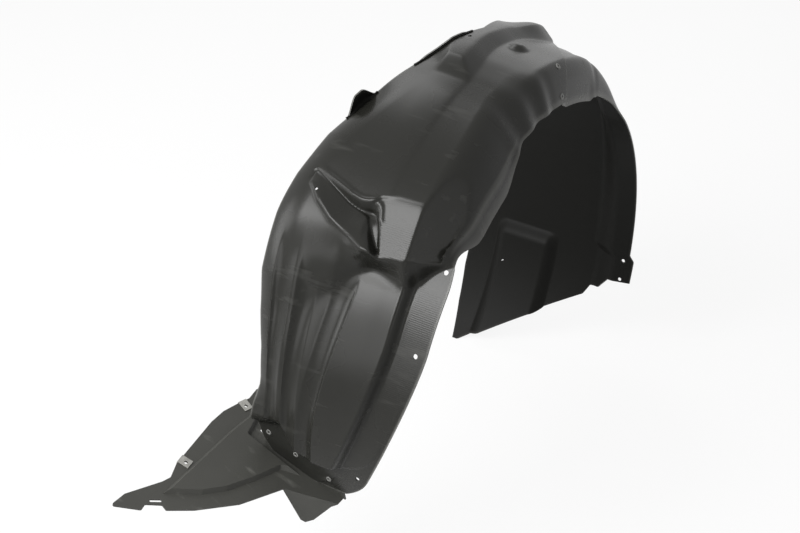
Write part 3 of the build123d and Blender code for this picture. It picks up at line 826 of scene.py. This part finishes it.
def rivet_tree(material):
    """Geometry Nodes tree that sets a hollow rivet, rounded at its head, on every point."""
    tree = bpy.data.node_groups.new("set_hollow_rivets", "GeometryNodeTree")
    tree.interface.new_socket("Geometry", in_out="INPUT", socket_type="NodeSocketGeometry")
    sizes = {"Head radius": rivet_head_radius,
             "Bore radius": rivet_bore_radius,
             "Head height": rivet_head_height}
    for size_name, size in sizes.items():
        socket = tree.interface.new_socket(size_name, in_out="INPUT", socket_type="NodeSocketFloat")
        socket.default_value = size * mm
    tree.interface.new_socket("Geometry", in_out="OUTPUT", socket_type="NodeSocketGeometry")
    nodes, links = tree.nodes, tree.links
    given = nodes.new("NodeGroupInput")
    made = nodes.new("NodeGroupOutput")
    head_radius, bore_radius, head_height = [given.outputs[size_name] for size_name in sizes]

    ring = nodes.new("GeometryNodeCurvePrimitiveCircle")
    ring.inputs["Resolution"].default_value = rivet_sides
    both_radii = combine(tree, "ADD", head_radius, bore_radius)
    links.new(combine(tree, "MULTIPLY", both_radii, 0.5), ring.inputs["Radius"])
    profile = nodes.new("GeometryNodeCurvePrimitiveQuadrilateral")
    links.new(combine(tree, "SUBTRACT", head_radius, bore_radius), profile.inputs["Width"])
    links.new(combine(tree, "MULTIPLY", head_height, 2), profile.inputs["Height"])
    rounded = nodes.new("GeometryNodeFilletCurve")
    rounded.mode = "POLY"
    rounded.inputs["Count"].default_value = rivet_rounding_steps
    links.new(profile.outputs["Curve"], rounded.inputs["Curve"])
    links.new(combine(tree, "MULTIPLY", head_height, rivet_rounding), rounded.inputs["Radius"])
    head = nodes.new("GeometryNodeCurveToMesh")
    links.new(ring.outputs["Curve"], head.inputs["Curve"])
    links.new(rounded.outputs["Curve"], head.inputs["Profile Curve"])

    facing = nodes.new("GeometryNodeInputNamedAttribute")
    facing.data_type = "FLOAT_VECTOR"
    facing.inputs["Name"].default_value = "facing"
    turn = nodes.new("FunctionNodeAlignRotationToVector")
    turn.axis = "Z"
    links.new(facing.outputs["Attribute"], turn.inputs["Vector"])
    copies = nodes.new("GeometryNodeInstanceOnPoints")
    links.new(given.outputs["Geometry"], copies.inputs["Points"])
    links.new(head.outputs["Mesh"], copies.inputs["Instance"])
    links.new(turn.outputs["Rotation"], copies.inputs["Rotation"])
    real = nodes.new("GeometryNodeRealizeInstances")
    links.new(copies.outputs["Instances"], real.inputs["Geometry"])
    coated = nodes.new("GeometryNodeSetMaterial")
    coated.inputs["Material"].default_value = material
    links.new(real.outputs["Geometry"], coated.inputs["Geometry"])
    links.new(coated.outputs["Geometry"], made.inputs["Geometry"])
    return tree


def set_rivets(name, spots, tree):
    """Hollow rivets on points, each along its own direction."""
    mesh = bpy.data.meshes.new(name + "_points")
    mesh.from_pydata([(point * mm).tolist() for point, _ in spots], [], [])
    facing = mesh.attributes.new("facing", "FLOAT_VECTOR", "POINT")
    facing.data.foreach_set("vector", np.concatenate([direction for _, direction in spots]))
    carrier = add_object(name + "_points", mesh)
    carrier.modifiers.new("rivets", "NODES").node_group = tree
    graph = bpy.context.evaluated_depsgraph_get()
    result = bpy.data.meshes.new_from_object(carrier.evaluated_get(graph))
    bpy.data.objects.remove(carrier)
    shade_smooth(result, rivet_sharp_angle)
    return add_object(name, result)


def surface_marks():
    """Shader group: fine grain, wide patches of gloss and faint scuffs on a formed sheet."""
    group = bpy.data.node_groups.new("formed_sheet_marks", "ShaderNodeTree")
    for socket_name, value in (("Grain size", 900), ("Patch size", 9), ("Scuff size", 60)):
        socket = group.interface.new_socket(socket_name, in_out="INPUT", socket_type="NodeSocketFloat")
        socket.default_value = value
    for socket_name in ("Grain", "Patches", "Scuffs"):
        group.interface.new_socket(socket_name, in_out="OUTPUT", socket_type="NodeSocketFloat")
    nodes, links = group.nodes, group.links
    given = nodes.new("NodeGroupInput")
    made = nodes.new("NodeGroupOutput")
    where = nodes.new("ShaderNodeTexCoord").outputs["Object"]
    drawn_out = nodes.new("ShaderNodeMapping")
    drawn_out.inputs["Scale"].default_value = (1, 0.15, 1)
    drawn_out.inputs["Rotation"].default_value = (0.3, 0.2, 0.5)
    links.new(where, drawn_out.inputs["Vector"])

    def noise(size_name, vector, detail):
        """Noise of one of the group's sizes."""
        texture = nodes.new("ShaderNodeTexNoise")
        texture.inputs["Detail"].default_value = detail
        links.new(vector, texture.inputs["Vector"])
        links.new(given.outputs[size_name], texture.inputs["Scale"])
        return texture.outputs["Fac"]

    links.new(noise("Grain size", where, detail=2), made.inputs["Grain"])
    links.new(noise("Patch size", where, detail=4), made.inputs["Patches"])
    scuffs = noise("Scuff size", drawn_out.outputs["Vector"], detail=6)
    links.new(map_range(group, scuffs, low=0, high=1, start=0.62, end=0.75), made.inputs["Scuffs"])
    return group


class Finish:
    """Material with a Principled shader and short ways to add and join nodes."""

    def __init__(self, name):
        self.material = bpy.data.materials.new(name)
        self.material.use_nodes = True
        self.tree = self.material.node_tree
        self.shader = self.tree.nodes["Principled BSDF"]

    def node(self, kind, **settings):
        """New node with its settings."""
        made = self.tree.nodes.new(kind)
        for key, value in settings.items():
            setattr(made, key, value)
        return made

    def marks(self, group, *sizes):
        """Outputs of the group of marks, with pairs of socket and size where they differ from its own."""
        effect = self.node("ShaderNodeGroup", node_tree=group)
        for socket_name, size in sizes:
            effect.inputs[socket_name].default_value = size
        return effect.outputs

    def set(self, socket_name, value):
        """Socket of the shader, fed by an output, a number or a colour."""
        feed(self.tree, value, self.shader.inputs[socket_name])

    def math(self, operation, first, second):
        """Result of a Math node on two outputs or numbers."""
        return combine(self.tree, operation, first, second)

    def map(self, value, low, high, start=0, end=1):
        """Output that goes from low to high as a value goes from start to end."""
        return map_range(self.tree, value, low, high, start, end)

    def mix(self, share, first, second):
        """Colour between two, by a share. A Mix node has its colours at inputs 6 and 7 and output 2."""
        made = self.node("ShaderNodeMix", data_type="RGBA")
        feed(self.tree, share, made.inputs["Factor"])
        feed(self.tree, first, made.inputs[6])
        feed(self.tree, second, made.inputs[7])
        return made.outputs[2]

    def stored(self, name):
        """Value kept on the points of a mesh."""
        return self.node("ShaderNodeAttribute", attribute_name=name).outputs["Fac"]

    def bump(self, height, strength, distance):
        """Relief on the shader's normal."""
        made = self.node("ShaderNodeBump")
        made.inputs["Strength"].default_value = strength
        made.inputs["Distance"].default_value = distance
        self.tree.links.new(height, made.inputs["Height"])
        self.set("Normal", made.outputs["Normal"])


def tool_lines(finish, where, scale, slant):
    """Fine slanted lines where the points of a shell hold them."""
    turn = finish.node("ShaderNodeMapping")
    turn.inputs["Rotation"].default_value = (0, math.radians(slant), 0)
    finish.tree.links.new(where, turn.inputs["Vector"])
    lines = finish.node("ShaderNodeTexWave", bands_direction="Z")
    lines.inputs["Scale"].default_value = scale
    finish.tree.links.new(turn.outputs["Vector"], lines.inputs["Vector"])
    return finish.math("MULTIPLY", finish.stored("tool_lines"), lines.outputs["Fac"])


def formed_sheet_finish(group):
    """Black vacuum-formed sheet on its outer side: satin, lighter low down as painted light, with worn
    rims, a painted highlight along the corner's fold, and tool lines.
    """
    plain = (0.0115, 0.0115, 0.0098, 1)
    # Lighter colour painted low down, as painted light on the foot of the leg
    painted_light_low = (0.016, 0.016, 0.014, 1)
    worn_and_highlight = (0.13, 0.13, 0.12, 1)
    painted_light_top = 0.12
    rim_wear_and_highlight = 0.6
    scuff_wear = 0.12
    grain_height = 0.1
    line_height = 0.55
    finish = Finish("formed_black_sheet")
    marks = finish.marks(group)
    where = finish.node("ShaderNodeTexCoord").outputs["Object"]
    split = finish.node("ShaderNodeSeparateXYZ")
    finish.tree.links.new(where, split.inputs["Vector"])
    # Painted light: the colour turns lighter towards the bottom of the part
    painted_light_share = finish.map(split.outputs["Z"], low=0, high=1, start=painted_light_top, end=0)
    base = finish.mix(painted_light_share, plain, painted_light_low)
    # Rim values: wear at trimmed edges, and a painted highlight along the corner's fold
    rim = finish.math("MULTIPLY", finish.stored("rim"), rim_wear_and_highlight)
    scuffs = finish.math("MULTIPLY", marks["Scuffs"], scuff_wear)
    finish.set("Base Color", finish.mix(finish.math("MAXIMUM", rim, scuffs), base, worn_and_highlight))
    finish.set("Roughness", finish.math("ADD", finish.map(marks["Patches"], low=0.2, high=0.34), scuffs))
    finish.set("Specular IOR Level", 0.22)
    grain = finish.math("MULTIPLY", marks["Grain"], grain_height)
    lines = finish.math("MULTIPLY", tool_lines(finish, where, scale=130, slant=-28), line_height)
    finish.bump(finish.math("ADD", grain, lines), strength=0.3, distance=0.0005)
    return finish.material


def wheel_side_painted_shade_finish(group):
    """Black vacuum-formed sheet on the side of the wheel: duller, and darker as painted shade."""
    # Painted shade: these colours are darker copies of the outer side's colours
    plain = (0.005, 0.005, 0.0044, 1)
    worn_and_highlight = (0.04, 0.04, 0.036, 1)
    rim_wear_and_highlight = 0.4
    finish = Finish("formed_black_wheel_side_painted_shade")
    marks = finish.marks(group)
    # Rim values: wear at trimmed edges, and a painted highlight along the corner's fold
    rim = finish.math("MULTIPLY", finish.stored("rim"), rim_wear_and_highlight)
    finish.set("Base Color", finish.mix(rim, plain, worn_and_highlight))
    finish.set("Roughness", finish.map(marks["Patches"], low=0.4, high=0.54))
    finish.set("Specular IOR Level", 0.08)
    finish.bump(marks["Grain"], strength=0.08, distance=0.0005)
    return finish.material


def shield_finish(group):
    """Matte grey-black panel with a coarser grain."""
    dark = (0.026, 0.026, 0.0225, 1)
    pale = (0.044, 0.044, 0.0385, 1)
    scuffed = (0.08, 0.08, 0.072, 1)
    finish = Finish("matte_shield_sheet")
    marks = finish.marks(group, ("Grain size", 500), ("Patch size", 14))
    base = finish.mix(marks["Patches"], dark, pale)
    finish.set("Base Color", finish.mix(marks["Scuffs"], base, scuffed))
    finish.set("Roughness", finish.map(marks["Patches"], low=0.5, high=0.68))
    finish.set("Specular IOR Level", 0.4)
    finish.bump(marks["Grain"], strength=0.25, distance=0.0005)
    return finish.material


def rivet_finish(group):
    """Dark rivet, rubbed grey in patches."""
    dark = (0.05, 0.05, 0.047, 1)
    rubbed = (0.2, 0.2, 0.19, 1)
    finish = Finish("rubbed_rivet")
    marks = finish.marks(group, ("Patch size", 120))
    finish.set("Base Color", finish.mix(marks["Patches"], dark, rubbed))
    finish.set("Roughness", finish.map(marks["Grain"], low=0.3, high=0.5))
    finish.bump(marks["Grain"], strength=0.15, distance=0.0003)
    return finish.material


def nut_finish(group):
    """Bright spring steel in lighter and darker patches."""
    dull = (0.26, 0.26, 0.24, 1)
    bright = (0.52, 0.51, 0.48, 1)
    finish = Finish("spring_steel")
    marks = finish.marks(group, ("Patch size", 160))
    finish.set("Base Color", finish.mix(marks["Patches"], dull, bright))
    finish.set("Metallic", 1)
    finish.set("Roughness", finish.map(marks["Scuffs"], low=0.25, high=0.5))
    finish.bump(marks["Grain"], strength=0.1, distance=0.0003)
    return finish.material


def dress(piece, slot_name, *nodes):
    """Piece that rides on the liner, in place of CAD nodes; its slot name is not used."""
    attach(piece, "root")
    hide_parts(*nodes)


def clad(node, material):
    """Material on a CAD node that stays."""
    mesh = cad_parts[node].data
    mesh.materials.clear()
    mesh.materials.append(material)


def turned_to(heading, dip):
    """Rotation of a camera or lamp that points along a heading and a dip below the level."""
    return math.pi / 2 - dip, 0, heading - math.pi / 2


def studio_camera():
    """Camera that looks along its heading and dip, with the image upright."""
    data = bpy.data.cameras.new("photo_camera")
    data.lens = camera_lens
    data.clip_end = camera_sight
    camera = add_object("photo_camera", data)
    camera.location = [value * mm for value in camera_place]
    camera.rotation_euler = turned_to(camera_heading, camera_dip)
    bpy.context.scene.camera = camera


def softbox(name, where, aim, size, power):
    """Rectangular lamp at a place in metres, turned to a point."""
    data = bpy.data.lights.new(name, "AREA")
    data.shape = "RECTANGLE"
    data.size, data.size_y = size
    data.energy = power
    lamp = add_object(name, data)
    lamp.location = where
    x, y, z = np.array(aim) - np.array(where)
    lamp.rotation_euler = turned_to(math.atan2(y, x), math.atan2(-z, math.hypot(x, y)))


def seen_white(tree):
    """1 where the surroundings are seen, directly or in a reflection, and 0 where they only give light."""
    seen = tree.nodes.new("ShaderNodeLightPath").outputs
    direct = combine(tree, "MAXIMUM", seen["Is Camera Ray"], seen["Is Transmission Ray"])
    return combine(tree, "MAXIMUM", direct, seen["Is Glossy Ray"])


def studio_floor():
    """Pale floor under the part, nearly white where it is seen."""
    level = cad_box[0][2] - floor_gap
    corners = [(-floor_reach, -floor_reach), (floor_reach, -floor_reach),
               (floor_reach, floor_reach), (-floor_reach, floor_reach)]
    mesh = bpy.data.meshes.new("studio_floor")
    mesh.from_pydata([(x, y, level) for x, y in corners], [], [(0, 1, 2, 3)])
    pale = Finish("pale_floor")
    pale.set("Base Color", (0.85, 0.85, 0.85, 1))
    pale.set("Roughness", 0.9)
    white = pale.node("ShaderNodeEmission")
    blend = pale.node("ShaderNodeMixShader")
    links = pale.tree.links
    links.new(pale.math("MULTIPLY", seen_white(pale.tree), floor_white_share), blend.inputs["Fac"])
    links.new(pale.shader.outputs["BSDF"], blend.inputs[1])
    links.new(white.outputs["Emission"], blend.inputs[2])
    links.new(blend.outputs["Shader"], pale.tree.nodes["Material Output"].inputs["Surface"])
    mesh.materials.append(pale.material)
    floor = add_object("studio_floor", mesh)


def studio_world():
    """White surroundings that light the part only a little."""
    world = bpy.data.worlds.new("studio_world")
    bpy.context.scene.world = world
    world.use_nodes = True
    tree = world.node_tree
    background = tree.nodes["Background"]
    background.inputs["Color"].default_value = (1, 1, 1, 1)
    strength = map_range(tree, seen_white(tree), low=surroundings_light, high=1)
    tree.links.new(strength, background.inputs["Strength"])


mark_group = surface_marks()
sheet_finishes = [formed_sheet_finish(mark_group), wheel_side_painted_shade_finish(mark_group)]
dress(front_shell(sheet_finishes), "arch_sheet", "front_arch_shell")
dress(rear_shell(sheet_finishes), "arch_sheet", "rear_arch_shell")
clad("lower_shield", shield_finish(mark_group))
clad("shield_nuts", nut_finish(mark_group))

rivets = rivet_tree(rivet_finish(mark_group))
strip_spots = [(place(angle, y, lip_radius), place(angle, 0, 1)) for angle, y in strip_rivets_at]
seam_spots = [skin_facing(angle, y) for angle, y in seam_rivets_at]
dress(set_rivets("strip_rivets_hollow", strip_spots, rivets), "rivet_plastic", "strip_rivets")
dress(set_rivets("seam_rivets_hollow", seam_spots, rivets), "rivet_plastic", "seam_rivets")

studio_camera()
studio_floor()
studio_world()
for lamp in lamps:
    softbox(*lamp)
bpy.context.scene.view_settings.view_transform = "Standard"
